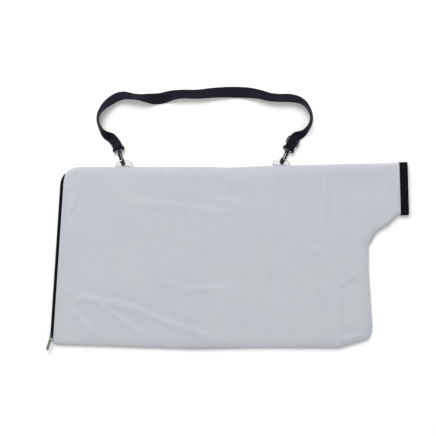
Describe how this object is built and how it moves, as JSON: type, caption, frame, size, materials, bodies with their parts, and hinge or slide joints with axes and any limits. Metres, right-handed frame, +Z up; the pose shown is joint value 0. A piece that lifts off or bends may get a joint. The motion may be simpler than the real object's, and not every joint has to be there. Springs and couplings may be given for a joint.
{
  "type": "blower vacuum collection bag",
  "caption": "Flat cloth leaf bag with a side inlet sleeve, a zip along one edge and a webbing shoulder strap clipped to rings on its upper edge.",
  "frame": {"origin": "middle of the bag's flat underside", "axes": "+X along the bag to the inlet sleeve, +Y to the edge that carries the strap, +Z up out of the flat bag"},
  "size_m": [0.946, 0.684, 0.0244],
  "materials": {
    "bag_cloth": "light grey woven polyester",
    "black_webbing": "black woven polypropylene webbing",
    "black_binding": "black woven tape",
    "black_nylon": "moulded nylon",
    "grey_nylon": "moulded nylon, lighter grey",
    "bright_steel": "bright nickel-plated steel",
    "zinc": "die-cast zinc"
  },
  "bodies": {
    "bag": {"front_panel": "bag_cloth", "back_panel": "bag_cloth", "inlet_band": "black_binding", "zip_tape_front": "black_binding", "zip_tape_back": "black_binding", "zip_teeth_front": "black_nylon", "zip_teeth_back": "black_nylon", "zip_stop_top": "zinc", "zip_stop_bottom": "zinc", "ring_tab_left": "bag_cloth", "ring_tab_right": "bag_cloth"},
    "slider": {"zip_slider": "zinc"},
    "pull": {"zip_pull": "bright_steel"},
    "rings": {"ring_left": "bright_steel", "ring_right": "bright_steel"},
    "strap": {"shoulder_strap": "black_webbing", "strap_adjuster": "black_nylon", "hook_eye_left": "black_nylon", "hook_eye_right": "black_nylon"},
    "hook_left": {"snap_hook_left": "black_nylon"},
    "gate_left": {"hook_gate_left": "grey_nylon"},
    "hook_right": {"snap_hook_right": "black_nylon"},
    "gate_right": {"hook_gate_right": "grey_nylon"}
  },
  "joints": [
    {"name": "zip_slide", "type": "slide", "parent": "bag", "child": "slider", "axis": [0.0659, 0.9978, 0], "range_m": [0, 0.379]},
    {"name": "pull_swing", "type": "hinge", "parent": "slider", "child": "pull", "pos_m": [-0.41647, -0.20425, 0.01565], "axis": [-0.9468, 0.3219, 0], "range_deg": [0, 125]},
    {"name": "ring_swing", "type": "hinge", "parent": "bag", "child": "rings", "pos_m": [-0.2288, 0.2377, 0.00255], "axis": [1, 0.0078, 0], "range_deg": [0, 12]},
    {"name": "strap_lift", "type": "hinge", "parent": "rings", "child": "strap", "pos_m": [-0.23455, 0.25358, 0.00775], "axis": [1, 0.0061, 0], "range_deg": [0, 120]},
    {"name": "hook_swivel_left", "type": "hinge", "parent": "strap", "child": "hook_left", "pos_m": [-0.24093, 0.27443, 0.0079], "axis": [-0.2924, 0.9563, 0], "range_deg": [-62, 2]},
    {"name": "gate_spring_left", "type": "hinge", "parent": "hook_left", "child": "gate_left", "pos_m": [-0.23653, 0.27012, 0.01243], "axis": [0.802, 0.2452, -0.5446], "range_deg": [0, 20], "stiffness_Nm_per_rad": 0.05, "springref_deg": -5.73},
    {"name": "hook_swivel_right", "type": "hinge", "parent": "strap", "child": "hook_right", "pos_m": [0.1959, 0.27539, 0.0079], "axis": [0.4695, 0.8829, 0], "range_deg": [-2, 62]},
    {"name": "gate_spring_right", "type": "hinge", "parent": "hook_right", "child": "gate_right", "pos_m": [0.19077, 0.272, 0.01243], "axis": [0.7405, -0.3937, 0.5446], "range_deg": [0, 20], "stiffness_Nm_per_rad": 0.05, "springref_deg": -5.73}
  ]
}
